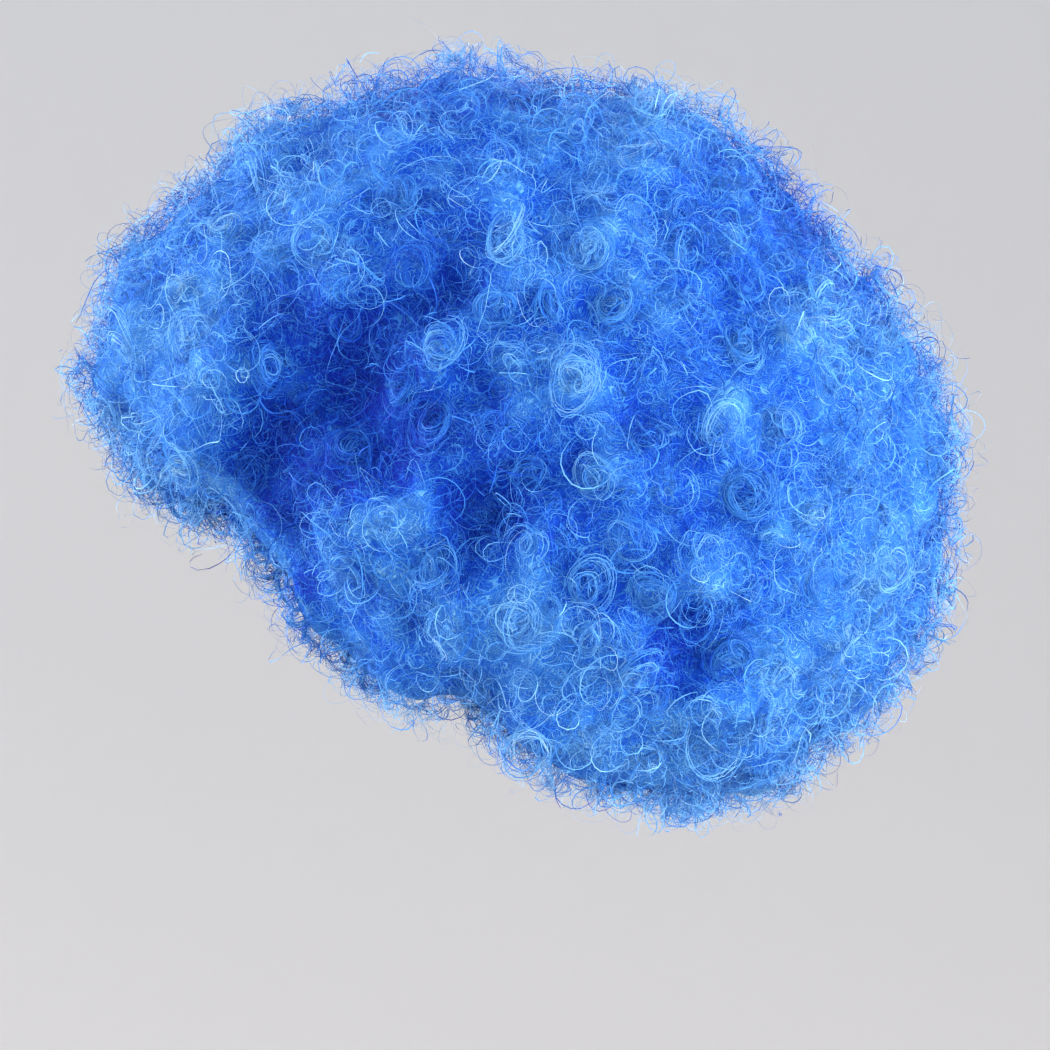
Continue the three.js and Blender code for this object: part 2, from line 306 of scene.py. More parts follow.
# Soft lights, aimed at the middle of the wig or at its nape. spread is in degrees.
WIG_MIDDLE = (0, 0.02, -0.09)
WIG_NAPE = (0.05, 0.05, -0.15)
LIGHTS = (
    {"name": "soft_left", "place": (0.2, -1.75, 0.3), "aim": WIG_MIDDLE, "size": (0.9, 1.4), "watts": 16, "spread": 70},
    {"name": "soft_right", "place": (0.75, 1.7, 0.3), "aim": WIG_MIDDLE, "size": (0.9, 1.4), "watts": 14, "spread": 70},
    {"name": "soft_top", "place": (0.3, 0.3, 1.9), "aim": WIG_MIDDLE, "size": (1.6, 1.6), "watts": 8, "spread": 180},
    {"name": "soft_far", "place": (-1.75, 0.1, 0.4), "aim": WIG_MIDDLE, "size": (1.2, 1.4), "watts": 8, "spread": 70},
    {"name": "low_fill", "place": (1.3, 0.7, -0.5), "aim": WIG_NAPE, "size": (0.7, 0.7), "watts": 3, "spread": 70},
)
SKY = (0.98, 0.98, 1.0, 1)
SKY_STRENGTH = 0.88

# Ringlets that the photograph shows clearly: column and row of the middle, and diameter, in its pixels.
# crown is 1 where the middle stands up as a dome and below 0 where it is hollow, and clear is 1 for a
# ringlet of neat rings.
RINGLETS_SEEN = (
    {"column": 600, "row": 195, "across": 46, "crown": 0.2, "clear": 0.7},
    {"column": 592, "row": 252, "across": 52, "crown": 0.9, "clear": 0.9},
    {"column": 617, "row": 305, "across": 52, "crown": 0.3, "clear": 0.97},
    {"column": 505, "row": 238, "across": 56, "crown": 0.4, "clear": 0.75},
    {"column": 440, "row": 345, "across": 46, "crown": -0.2, "clear": 0.93},
    {"column": 500, "row": 302, "across": 42, "crown": 0.3, "clear": 0.8},
    {"column": 546, "row": 300, "across": 38, "crown": -0.2, "clear": 0.8},
    {"column": 580, "row": 382, "across": 58, "crown": 0.5, "clear": 0.6},
    {"column": 430, "row": 428, "across": 52, "crown": 0.3, "clear": 0.95},
    {"column": 350, "row": 450, "across": 50, "crown": 0.5, "clear": 0.88},
    {"column": 270, "row": 370, "across": 58, "crown": 0.8, "clear": 0.85},
    {"column": 745, "row": 498, "across": 60, "crown": 0.0, "clear": 0.93},
    {"column": 440, "row": 565, "across": 46, "crown": 0.2, "clear": 0.6},
    {"column": 520, "row": 612, "across": 60, "crown": 0.5, "clear": 0.62},
    {"column": 588, "row": 582, "across": 48, "crown": -0.1, "clear": 0.92},
    {"column": 740, "row": 350, "across": 46, "crown": 0.4, "clear": 0.7},
    {"column": 537, "row": 478, "across": 36, "crown": -0.3, "clear": 0.85},
    {"column": 603, "row": 478, "across": 46, "crown": 0.9, "clear": 0.8},
    {"column": 655, "row": 592, "across": 50, "crown": 0.3, "clear": 0.7},
    {"column": 735, "row": 655, "across": 62, "crown": 0.6, "clear": 0.6},
    {"column": 632, "row": 675, "across": 50, "crown": 0.0, "clear": 0.6},
    {"column": 405, "row": 395, "across": 48, "crown": 0.7, "clear": 0.6},
    {"column": 680, "row": 250, "across": 50, "crown": 0.5, "clear": 0.6},
    {"column": 830, "row": 300, "across": 54, "crown": 0.3, "clear": 0.6},
    {"column": 780, "row": 430, "across": 50, "crown": 0.5, "clear": 0.6},
    {"column": 400, "row": 200, "across": 48, "crown": 0.6, "clear": 0.6},
    {"column": 320, "row": 240, "across": 46, "crown": 0.5, "clear": 0.6},
    {"column": 190, "row": 330, "across": 50, "crown": 0.5, "clear": 0.6},
)

# Dents between the clumps of curls on the photographed side: column and row of the middle and distance across, in its
# pixels, and depth as a share of DENT_DEPTH. Their fibres also get painted shade, darker the deeper the dent.
DENT_DEPTH = 0.0055
DENTS_SEEN = (
    {"column": 280, "row": 322, "across": 80, "deep": 0.7},
    {"column": 345, "row": 335, "across": 90, "deep": 1.0},
    {"column": 415, "row": 318, "across": 60, "deep": 0.7},
    {"column": 265, "row": 440, "across": 70, "deep": 0.8},
    {"column": 320, "row": 400, "across": 50, "deep": 0.5},
    {"column": 475, "row": 395, "across": 60, "deep": 0.8},
    {"column": 390, "row": 470, "across": 60, "deep": 0.6},
    {"column": 480, "row": 440, "across": 60, "deep": 0.6},
    {"column": 490, "row": 515, "across": 75, "deep": 0.85},
    {"column": 415, "row": 245, "across": 60, "deep": 0.5},
    {"column": 450, "row": 290, "across": 60, "deep": 0.7},
    {"column": 395, "row": 205, "across": 55, "deep": 0.4},
    {"column": 675, "row": 637, "across": 60, "deep": 0.8},
    {"column": 560, "row": 545, "across": 55, "deep": 0.5},
    {"column": 415, "row": 635, "across": 65, "deep": 0.5},
    {"column": 700, "row": 465, "across": 55, "deep": 0.4},
    {"column": 640, "row": 420, "across": 50, "deep": 0.4},
    {"column": 355, "row": 605, "across": 110, "deep": 0.45},
)

# Where the coat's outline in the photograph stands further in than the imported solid's: column and row,
# distance across, in its pixels, and metres inwards. Below 0 it stands further out.
OUTLINE_SEEN = (
    {"column": 870, "row": 262, "across": 200, "inward": 0.0065},
    {"column": 920, "row": 325, "across": 120, "inward": 0.003},
    {"column": 600, "row": 70, "across": 220, "inward": 0.0035},
    {"column": 345, "row": 80, "across": 120, "inward": 0.003},
    {"column": 250, "row": 118, "across": 190, "inward": 0.006},
    {"column": 160, "row": 190, "across": 110, "inward": 0.004},
    {"column": 205, "row": 528, "across": 100, "inward": 0.007},
    {"column": 595, "row": 800, "across": 100, "inward": 0.005},
    {"column": 705, "row": 820, "across": 110, "inward": -0.004},
)


def unit(vectors):
    return vectors / np.maximum(np.linalg.norm(vectors, axis=-1, keepdims=True), SHORTEST)


def dot(a, b):
    return np.sum(a * b, axis=-1, keepdims=True)


def turned(vectors, axes, angles):
    """Vectors turned about unit axes, with angles of one value each."""
    cosine = np.cos(angles)[..., None]
    sine = np.sin(angles)[..., None]
    return vectors * cosine + np.cross(axes, vectors) * sine + axes * dot(axes, vectors) * (1 - cosine)


def tangent_pair(normals):
    """Two unit vectors at right angles to each normal and to each other."""
    upright = np.abs(normals[..., 2:3]) > NEAR_UPRIGHT
    helper = np.where(upright, np.array([1.0, 0.0, 0.0]), np.array([0.0, 0.0, 1.0]))
    first = unit(np.cross(helper, normals))
    return first, np.cross(normals, first)


def sideways(rng, normals):
    """A random unit tangent for each normal."""
    first, second = tangent_pair(normals)
    angle = rng.uniform(0, 2 * math.pi, normals.shape[:-1])[..., None]
    return first * np.cos(angle) + second * np.sin(angle)


def mesh_arrays(mesh):
    """Positions and normals of a mesh's vertices."""
    positions = np.empty(len(mesh.vertices) * 3)
    normals = np.empty(len(mesh.vertices) * 3)
    mesh.vertices.foreach_get("co", positions)
    mesh.vertices.foreach_get("normal", normals)
    return positions.reshape(-1, 3), normals.reshape(-1, 3)


def move_vertices(mesh, positions):
    mesh.vertices.foreach_set("co", positions.ravel())
    mesh.update()


def add_object(name, data):
    piece = bpy.data.objects.new(name, data)
    bpy.context.scene.collection.objects.link(piece)
    return piece


def colour_points(mesh, colours):
    """Gives a mesh the point colours that the fibre's material reads."""
    layer = mesh.color_attributes.new("tint", "FLOAT_COLOR", "POINT")
    layer.data.foreach_set("color", colours.ravel())


def baked(piece, modifiers):
    """Applies modifiers, each a type and its settings, to a piece's mesh."""
    for kind, settings in modifiers:
        modifier = piece.modifiers.new(kind.lower(), kind)
        for key, value in settings.items():
            setattr(modifier, key, value)
    graph = bpy.context.evaluated_depsgraph_get()
    mesh = bpy.data.meshes.new_from_object(piece.evaluated_get(graph))
    piece.modifiers.clear()
    piece.data = mesh
    mesh.name = piece.name


def copy_of_node(node, name):
    """A new piece with a CAD node's mesh, its doubled vertices welded."""
    work = bmesh.new()
    work.from_mesh(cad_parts[node].data)
    bmesh.ops.remove_doubles(work, verts=work.verts, dist=WELD)
    mesh = bpy.data.meshes.new(name)
    work.to_mesh(mesh)
    work.free()
    return add_object(name, mesh)


def photo_point(column, row):
    """Y and Z of a pixel of the photograph, in the wig's middle plane."""
    return (column - CROWN_PX[0]) / PX_PER_METRE, (CROWN_PX[1] - row) / PX_PER_METRE


def camera_place():
    """Level with the middle of the photograph, so that no shift is needed."""
    return Vector((CAMERA_DISTANCE, *photo_point(PHOTO_SIDE_PX / 2, PHOTO_SIDE_PX / 2)))


def add_camera():
    """The photograph's view, from the wearer's left."""
    data = bpy.data.cameras.new("camera")
    data.sensor_width = SENSOR_MM
    data.lens = SENSOR_MM * CAMERA_DISTANCE * PX_PER_METRE / PHOTO_SIDE_PX
    camera = add_object("camera", data)
    camera.location = camera_place()
    camera.rotation_euler = (math.pi / 2, 0, math.pi / 2)
    bpy.context.scene.camera = camera


def seen_at(tree, column, row):
    """Where the surface is seen at a pixel of the photograph."""
    target = Vector((0, *photo_point(column, row)))
    return tree.ray_cast(camera_place(), (target - camera_place()).normalized())[0]


def neighbours_middle(points, edges, rounds):
    """Positions after every vertex has moved to the middle of its neighbours, again and again."""
    count = len(points)
    first, second = edges
    number = np.bincount(first, minlength=count) + np.bincount(second, minlength=count)
    for _ in range(rounds):
        moved = np.empty_like(points)
        for axis in range(3):
            values = points[:, axis]
            total = np.bincount(first, values[second], count)
            moved[:, axis] = total + np.bincount(second, values[first], count)
        points = moved / number[:, None]
    return points


def spread_evenly(values, sample, low, high):
    """Values scaled so that a low and a high percentile of a sample come to 0 and 1."""
    start, end = np.percentile(sample, [low, high])
    return np.clip((values - start) / (end - start), 0, 1)


class Coat:
    """The coat's outer surface, where fibres take root: points, outward normals, and level, which is how
    high each stands between the dents and the lumps, from 0 to 1. raise_tufts gives it rise, how far the
    domes lift each point, and chance, how likely a loose strand is to take root at each outer point."""

    def __init__(self, piece):
        mesh = piece.data
        points, normals = mesh_arrays(mesh)
        ends = np.empty(len(mesh.edges) * 2, dtype=np.int64)
        mesh.edges.foreach_get("vertices", ends)
        edges = ends[0::2], ends[1::2]
        self.lining = near_cap(points)
        low = neighbours_middle(points, edges, LUMP_ROUNDS)
        far = neighbours_middle(low, edges, DENT_ROUNDS)
        self.all_points = points
        self.all_normals = normals
        self.softened = low
        self.tree = BVHTree.FromObject(piece, bpy.context.evaluated_depsgraph_get())
        self.outer = np.flatnonzero(~self.lining)
        middle = points.mean(axis=0) * [1, 1, 0]
        away = unit((points - middle) * [1, 1, 0])
        inward = np.sum(away * normals, axis=1) < FACES_IN
        self.shown = np.flatnonzero(~self.lining & ~inward)
        edge = dot(points - low, normals)[:, 0] > RIM_SHARPNESS
        self.rim = np.flatnonzero(edge & ~self.lining & (normals[:, 2] < RIM_UPTURN))
        self.press_outline()
        dents = self.press_dents()
        lumps = dot(low - far, normals)[:, 0]
        # Low levels, in the dents and between lumps, are painted darker by the materials: painted shade.
        self.level = spread_evenly(lumps, lumps[self.shown], *LEVEL_PERCENTILES) * (1 - DENT_SHARE * dents)
        self.rise = None
        self.chance = None

    def press_outline(self):
        """Moves the coat in or out to the outline that the photograph shows, on both sides of the wig."""
        inward = np.zeros(len(self.all_points))
        for place in OUTLINE_SEEN:
            middle = np.array(photo_point(place["column"], place["row"]))
            reach = place["across"] / PX_PER_METRE / 2
            away = np.linalg.norm(self.all_points[:, 1:] - middle, axis=1) / reach
            inward += place["inward"] * np.exp(-(away**2))
        moved = self.all_normals * np.where(self.lining, 0, inward)[:, None]
        self.all_points = self.all_points - moved
        self.softened = self.softened - moved

    def press_dents(self):
        """Presses in the dents that the photograph shows, and gives how deep each point lies in them."""
        share = np.zeros(len(self.all_points))
        for dent in DENTS_SEEN:
            place = seen_at(self.tree, dent["column"], dent["row"])
            reach = dent["across"] / PX_PER_METRE / 2
            away = np.linalg.norm(self.all_points - np.array(place), axis=1) / reach
            share = np.maximum(share, dent["deep"] * np.exp(-(away**2)))
        pressed = self.all_normals * (share * DENT_DEPTH)[:, None]
        self.all_points = self.all_points - pressed
        self.softened = self.softened - pressed
        return share

    def nearest(self, place, among):
        """Which of some points lies nearest to a place."""
        away = np.linalg.norm(self.all_points[among] - np.array(place), axis=1)
        return among[int(np.argmin(away))]


def near_cap(points):
    """Which points lie on the lining of the hollow, against the cap or the band."""
    near = np.zeros(len(points), dtype=bool)
    for node in ("cap", "edge_band"):
        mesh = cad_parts[node].data
        corners = [vertex.co for vertex in mesh.vertices]
        tree = BVHTree.FromPolygons(corners, [polygon.vertices[:] for polygon in mesh.polygons])
        for index, point in enumerate(points):
            if not near[index] and tree.find_nearest(Vector(point), CAP_NEAR)[0] is not None:
                near[index] = True
    return near


def make_body():
    """The lumpy body of fibre under the curls, from the CAD coat's own form."""
    body = copy_of_node("hair", "hair_body")
    remesh = ("REMESH", {"mode": "VOXEL", "voxel_size": BODY_VOXEL})
    smooth = ("SMOOTH", {"factor": 0.5, "iterations": 3})
    baked(body, [remesh, smooth])
    return body


def pick_apart(rng, points, among, spacing, taken=()):
    """Indices picked at random among some, none nearer than about the spacing to another or to one taken."""
    free = np.zeros(len(points), dtype=bool)
    free[among] = True
    for index in taken:
        free &= np.linalg.norm(points - points[index], axis=1) > spacing
    chosen = []
    for index in rng.permutation(among):
        if free[index]:
            chosen.append(index)
            room = spacing * rng.uniform(*APART)
            free &= np.linalg.norm(points - points[index], axis=1) > room
    return np.array(chosen)


class Tufts:
    """Where the curls stand: middles on the coat, radii, how far each middle is domed, and how clear it is.
    The first ones carry ringlets, and the others only fill the coat between them."""

    def __init__(self, coat, rng):
        seen, radii, crowns, clears = [], [], [], []
        for ringlet in RINGLETS_SEEN:
            place = seen_at(coat.tree, ringlet["column"], ringlet["row"])
            if place is not None:
                seen.append(coat.nearest(place, coat.shown))
                radii.append(ringlet["across"] / PX_PER_METRE / 2)
                crowns.append(ringlet["crown"])
                clears.append(ringlet["clear"])
        others = pick_apart(rng, coat.all_points, coat.shown, RINGLET_SPACING, seen)
        self.ringlets = len(seen) + len(others)
        places = np.concatenate([seen, others])
        fillers = pick_apart(rng, coat.all_points, coat.outer, FILLER_SPACING, places)
        self.index = np.concatenate([places, fillers]).astype(int)
        self.radius = np.concatenate(
            [radii, rng.uniform(*RINGLET_RADII, len(others)), rng.uniform(*FILLER_RADII, len(fillers))]
        )
        self.crown = np.concatenate(
            [crowns, rng.uniform(*RINGLET_CROWNS, len(others)), rng.uniform(*FILLER_CROWNS, len(fillers))]
        )
        neat = rng.random(len(others)) < CLEAR_SHARE
        clear = np.where(neat, CLEAR_VALUE, rng.uniform(0, CLEAR_FROM, len(others)))
        self.clear = np.concatenate([clears, clear, np.zeros(len(fillers))])


def raise_tufts(coat, tufts, body):
    """Raises the body in a soft dome under every tuft. Loose strands take root less often on the clearest
    ringlets and more often round the rim."""
    rise = np.zeros(len(coat.all_points))
    for index, radius, crown in zip(tufts.index, tufts.radius, tufts.crown):
        away = np.linalg.norm(coat.all_points - coat.all_points[index], axis=1) / (radius * DOME_REACH)
        rise += radius * DOME_HEIGHT * crown * np.clip(1 - away**2, 0, None) ** DOME_POWER
    rise[coat.lining] = 0
    rise = np.clip(rise, *DOME_LIMITS)
    coat.rise = rise
    open_places = np.zeros(len(rise))
    for index, radius, clear in zip(tufts.index, tufts.radius, tufts.clear):
        if clear > CLEAR_FROM:
            away = np.linalg.norm(coat.all_points - coat.all_points[index], axis=1) / radius
            open_places = np.maximum(open_places, np.clip(OPEN_REACH - away, 0, 1))
    weight = 1 - OPEN_LOSS * open_places
    weight[coat.rim] *= RIM_GAIN
    weight = weight[coat.outer]
    coat.chance = weight / weight.sum()
    inset = np.where(coat.lining, HOLLOW_INSET, BODY_INSET)
    softness = np.where(coat.lining, 0, SKIN_SOFTNESS)[:, None]
    skin = coat.all_points * (1 - softness) + coat.softened * softness
    move_vertices(body.data, skin + coat.all_normals * (rise - inset)[:, None])
    # The body's point colours carry the dome rise and the level, which its material turns into painted shade in the
    # gaps and dents.
    colour = np.ones((len(rise), 4))
    colour[:, 0] = 0.5
    colour[:, 1] = spread_evenly(rise, rise[coat.shown], *DOME_PERCENTILES)
    colour[:, 2] = coat.level
    colour_points(body.data, colour)
    body.data.shade_smooth()


def ribbon_mesh(name, paths, facing, widths, tints):
    """One mesh of flat fibres. paths holds each fibre's points, facing the way its flat side looks, widths
    its width, and tints three values from 0 to 1 at each point for the material."""
    count, points = paths.shape[:2]
    along = unit(np.gradient(paths, axis=1))
    taper = np.sin(np.linspace(TAPER_END, math.pi - TAPER_END, points)) ** 0.5
    half = widths[:, None, None] * taper[None, :, None] / 2
    side = unit(np.cross(along, facing)) * half
    vertices = np.stack([paths - side, paths + side], axis=2).reshape(-1, 3)
    row = np.arange(count)[:, None] * points + np.arange(points - 1)[None, :]
    corner = (row * 2).reshape(-1, 1)
    quads = corner + np.array([[0, 1, 3, 2]])
    mesh = bpy.data.meshes.new(name)
    mesh.vertices.add(len(vertices))
    mesh.vertices.foreach_set("co", vertices.ravel())
    mesh.loops.add(quads.size)
    mesh.loops.foreach_set("vertex_index", quads.ravel())
    mesh.polygons.add(len(quads))
    mesh.polygons.foreach_set("loop_start", np.arange(len(quads)) * 4)
    mesh.update(calc_edges=True)
    mesh.shade_smooth()
    colour = np.ones((count, points, 2, 4))
    colour[..., :3] = tints[:, :, None, :]
    colour_points(mesh, colour)
    lay_out(mesh, count, points, quads)
    return add_object(name, mesh)


def lay_out(mesh, count, points, quads):
    """Gives each fibre a cell of its own in the picture that its colour is baked to."""
    columns = math.ceil(math.sqrt(count / CELL_ASPECT))
    rows = math.ceil(count / columns)
    cell = np.arange(count)
    across = ((cell % columns)[:, None] + np.linspace(*CELL_ACROSS, points)[None, :]) / columns
    up = ((cell // columns)[:, None, None] + np.array(CELL_UP)[None, None, :]) / rows
    flat = np.empty((count, points, 2, 2))
    flat[..., 0] = across[:, :, None]
    flat[..., 1] = up
    layer = mesh.uv_layers.new(name="OFBake")
    layer.data.foreach_set("uv", flat.reshape(-1, 2)[quads.ravel()].ravel())


def wander(rng, roots, normals, steps, step, radius, height, drift, pull, start_up):
    """Curly paths: each turns at its own radius about an axis that drifts, and is pulled to its height over
    the root. start_up is how steeply it leaves the root."""
    count = len(roots)
    direction = unit(sideways(rng, normals) + start_up * normals)
    axis = unit(np.cross(direction, rng.normal(size=(count, 3))))
    path = np.empty((count, steps + 1, 3))
    path[:, 0] = roots
    bend = step / radius
    for index in range(steps):
        here = path[:, index] + direction * step[:, None]
        path[:, index + 1] = here
        axis = unit(axis + drift * rng.normal(size=(count, 3)))
        axis = unit(axis - direction * dot(axis, direction))
        direction = turned(direction, axis, bend * rng.uniform(*BEND_SPREAD, count))
        off = dot(here - roots, normals) - height[:, None]
        direction = unit(direction - pull * off / radius[:, None] * normals)
    return path


def wobble(rng, shape, points, size, waves):
    """Smooth random offsets along paths, of about the given size."""
    along = np.linspace(0, 1, points)[:, None]
    offset = np.zeros((*shape, points, 3))
    for wave in waves:
        phase = rng.uniform(0, 2 * math.pi, (*shape, 1, 3))
        offset += np.sin(2 * math.pi * wave * along + phase) * rng.normal(size=(*shape, 1, 3))
    return offset * size / math.sqrt(len(waves))


def curl_paths(rng, layer, centres, axes, radii, crowns, clear):
    """Fibres wound into curls that look along their axes: each curl is a few locks, each lock a few strands
    that run together, and the locks differ in radius, tilt and how far they wind inwards."""
    count = len(centres)
    lock = (count, layer["locks"])
    clear = clear[:, None]
    unclear = 1 - clear
    neat = clear > CLEAR_FROM
    tilt = rng.normal(size=(*lock, 3)) * (LOCK_TILT[0] + LOCK_TILT[1] * unclear)[..., None]
    lock_axis = unit(axes[:, None, :] + tilt)
    first, second = tangent_pair(lock_axis)
    radius = radii[:, None]
    nested = np.linspace(*NESTED_SIZES, layer["locks"])[None, :] + rng.normal(0, NESTED_SPREAD, lock)
    size = np.where(neat, nested, rng.uniform(*LOOSE_SIZES, lock))
    shift = rng.normal(0, 1, (*lock, 2)) * (LOCK_SHIFT[0] + LOCK_SHIFT[1] * unclear)[..., None] * radius[..., None]
    wound = rng.uniform(*layer["turns"], lock) + CLEAR_TURNS * clear
    shrink = rng.uniform(*LOCK_SHRINK, lock) * np.where(neat, CLEAR_SHRINK, 1)
    start = rng.uniform(0, 2 * math.pi, lock)
    hand = rng.choice([-1.0, 1.0], (count, 1)) * np.where(rng.random(lock) < SAME_HAND, 1, -1)
    squash = rng.uniform(*SQUASH, (count, 1))
    level = rng.uniform(*LOCK_LEVELS, lock) * radius
    slope = rng.uniform(*LOCK_SLOPES, lock) * radius * (1 - CLEAR_FLATNESS * clear)

    steps = layer["steps"]
    own = (*lock, layer["strands"])
    along = np.linspace(0, 1, steps + 1)
    phase = start[..., None] + rng.normal(0, STRAND_PHASE, own)
    strand_size = size[..., None] + rng.normal(0, STRAND_SIZE, own)
    share = strand_size[..., None] * (1 - shrink[..., None, None] * along)
    share = np.clip(share, *SIZE_LIMITS)
    angle = hand[..., None, None] * (phase[..., None] + 2 * math.pi * wound[..., None, None] * along)
    reach = radius[..., None, None] * share
    out = np.cos(angle) * reach * squash[..., None, None] + shift[..., 0][..., None, None]
    over = np.sin(angle) * reach + shift[..., 1][..., None, None]
    dome = DOME_HEIGHT * crowns[:, None, None, None] * radius[..., None, None] * np.clip(1 - share**2, 0, 1)
    rise = dome + level[..., None, None] + slope[..., None, None] * along
    rise = rise + rng.normal(0, STRAND_RISE, own)[..., None]
    first, second, up = (vectors[:, :, None, None, :] for vectors in (first, second, lock_axis))
    paths = centres[:, None, None, None, :] + first * out[..., None] + second * over[..., None] + up * rise[..., None]
    paths = paths + wobble(rng, (*lock, 1), steps + 1, LOCK_WOBBLE, LOCK_WAVES)
    paths = paths + wobble(rng, own, steps + 1, STRAND_WOBBLE, STRAND_WAVES)
    radial = first * np.cos(angle)[..., None] + second * np.sin(angle)[..., None]
    facing = unit(up + RADIAL_TWIST * radial)
    shade = rng.uniform(0, 1, own) * (1 - LOCK_SHADES) + rng.uniform(0, LOCK_SHADES, lock)[..., None]
    shade = np.broadcast_to(np.clip(shade, 0, 1)[..., None], (*own, steps + 1))
    height = np.clip((rise / radius[..., None, None] + CURL_FOOT) / CURL_SPAN, 0, 1)
    points = (-1, steps + 1)
    return paths.reshape(*points, 3), facing.reshape(*points, 3), shade.reshape(points), height.reshape(points)


def tints_of(shade, height, level):
    """Three values a point for the fibre's material: its own shade, how high it stands over the coat's skin, and how
    high the skin stands there between dents and lumps. The last two are painted shade: the material darkens low points
    and points in dents."""
    tint = np.empty((*shade.shape, 3))
    tint[..., 0] = shade
    tint[..., 1] = height
    tint[..., 2] = level[:, None]
    return tint


def make_curls(rng, name, coat, index, centres, axes, radii, crowns, clear):
    """The piece of a layer of curls that stand at some of the coat's points."""
    layer = CURL_LAYERS[name]
    paths, facing, shade, height = curl_paths(rng, layer, centres, axes, radii, crowns, clear)
    fibres = layer["locks"] * layer["strands"]
    # Clearer ringlets are painted lighter here: a painted highlight on their rings.
    shade = layer["shade"] * shade + layer["clear_painted_light"] * np.repeat(clear, fibres)[:, None]
    widths = rng.uniform(*layer["width"], len(paths))
    tints = tints_of(shade, height, np.repeat(coat.level[index], fibres))
    return ribbon_mesh(name, paths, facing, widths, tints)


def make_ringlets(coat, tufts, name, chosen):
    """Ringlets on the chosen tufts."""
    rng = np.random.default_rng(CURL_LAYERS[name]["seed"])
    index = tufts.index[chosen]
    clear = tufts.clear[chosen]
    normals = coat.all_normals[index]
    lean = rng.uniform(*RINGLET_LEANS, len(index)) * (1 - CLEAR_UPRIGHT * clear)
    axes = unit(normals + sideways(rng, normals) * lean[:, None])
    centres = coat.all_points[index] + normals * CURL_LAYERS[name]["lift"]
    radii, crowns = tufts.radius[chosen], tufts.crown[chosen]
    return make_curls(rng, name, coat, index, centres, axes, radii, crowns, clear)


def make_bent_locks(coat):
    """Short bent locks of a few strands, scattered between the ringlets at every slant."""
    rng = np.random.default_rng(CURL_LAYERS["bent_locks"]["seed"])
    count = BENT_COUNT
    index = rng.choice(coat.outer, count, p=coat.chance)
    normals = coat.all_normals[index]
    lean = rng.uniform(*BENT_LEANS, count)
    axes = unit(normals + sideways(rng, normals) * lean[:, None])
    radii = rng.uniform(*BENT_RADII, count)
    lift = rng.uniform(*BENT_LIFTS, count) + coat.rise[index]
    centres = coat.all_points[index] + normals * lift[:, None]
    crowns, clear = np.full(count, BENT_CROWN), np.full(count, BENT_CLEAR)
    return make_curls(rng, "bent_locks", coat, index, centres, axes, radii, crowns, clear)


def make_rim_curls(coat):
    """Curls that hang round the coat's lower rim and scallop it."""
    rng = np.random.default_rng(CURL_LAYERS["rim_curls"]["seed"])
    index = pick_apart(rng, coat.all_points, coat.rim, RIM_SPACING)
    count = len(index)
    normals = coat.all_normals[index]
    axes = unit(unit(normals * RIM_FLATTENED) + rng.normal(0, RIM_LEAN, (count, 3)))
    radii = rng.uniform(*RIM_RADII, count)
    centres = coat.softened[index] + normals * RIM_OUT + rng.normal(0, RIM_SPREAD, (count, 3))
    centres[:, 2] += RIM_UP * radii
    crowns, clear = np.full(count, RIM_CROWN), np.full(count, RIM_CLEAR)
    return make_curls(rng, "rim_curls", coat, index, centres, axes, radii, crowns, clear)


def make_tangle(coat, name):
    """Single curly strands tangled all over the coat, between two depths."""
    layer = TANGLES[name]
    count = layer["count"]
    rng = np.random.default_rng(layer["seed"])
    index = rng.choice(coat.outer, count, p=coat.chance)
    normal = coat.all_normals[index]
    base = coat.all_points[index] + normal * coat.rise[index][:, None]
    start = rng.uniform(*layer["depth"], count)
    roots = base + sideways(rng, normal) * TANGLE_ASIDE + normal * start[:, None]
    target = rng.uniform(*layer["depth"], count) - start
    step = layer["step"] * rng.uniform(*TANGLE_STEPS, count)
    radius = rng.uniform(*layer["radius"], count)
    paths = wander(rng, roots, normal, layer["steps"], step, radius, target, **TANGLE_PATH)
    facing = unit(normal + TANGLE_TWIST * rng.normal(size=(count, 3)))[:, None, :]
    over = dot(paths - base[:, None, :], normal[:, None, :])[..., 0]
    height = np.clip((over + TANGLE_FOOT) / TANGLE_SPAN, 0, 1)
    shade = np.broadcast_to(rng.uniform(*TANGLE_SHADES, (count, 1)), height.shape)
    tints = tints_of(shade, height, coat.level[index])
    widths = rng.uniform(*layer["width"], count)
    return ribbon_mesh(name, paths, np.broadcast_to(facing, paths.shape), widths, tints)


def make_flyaways(coat):
    """Fine loose curls that stand off the coat and soften its outline."""
    rng = np.random.default_rng(FLY_SEED)
    count = FLY_COUNT
    index = rng.choice(coat.outer, count, p=coat.chance)
    normal = coat.all_normals[index]
    roots = coat.all_points[index] + normal * (coat.rise[index] - rng.uniform(*FLY_SUNK, count))[:, None]
    radius = rng.uniform(*FLY_RADII, count)
    step = rng.uniform(*FLY_STEP_LENGTHS, count)
    height = np.minimum(rng.gamma(FLY_SHAPE, FLY_SCALE, count) + FLY_LOWEST, FLY_HIGHEST)
    paths = wander(rng, roots, normal, FLY_STEPS, step, radius, height, **FLY_PATH)
    facing = np.broadcast_to(unit(rng.normal(size=(count, 1, 3))), paths.shape)
    shade = np.broadcast_to(rng.uniform(*FLY_SHADES, (count, 1)), paths.shape[:2])
    # Flyaways take the highest height tone all along, so no painted shade darkens them.
    tints = tints_of(shade, np.ones_like(shade), coat.level[index])
    widths = rng.uniform(*FLY_WIDTHS, count)
    return ribbon_mesh("flyaways", paths, facing, widths, tints)


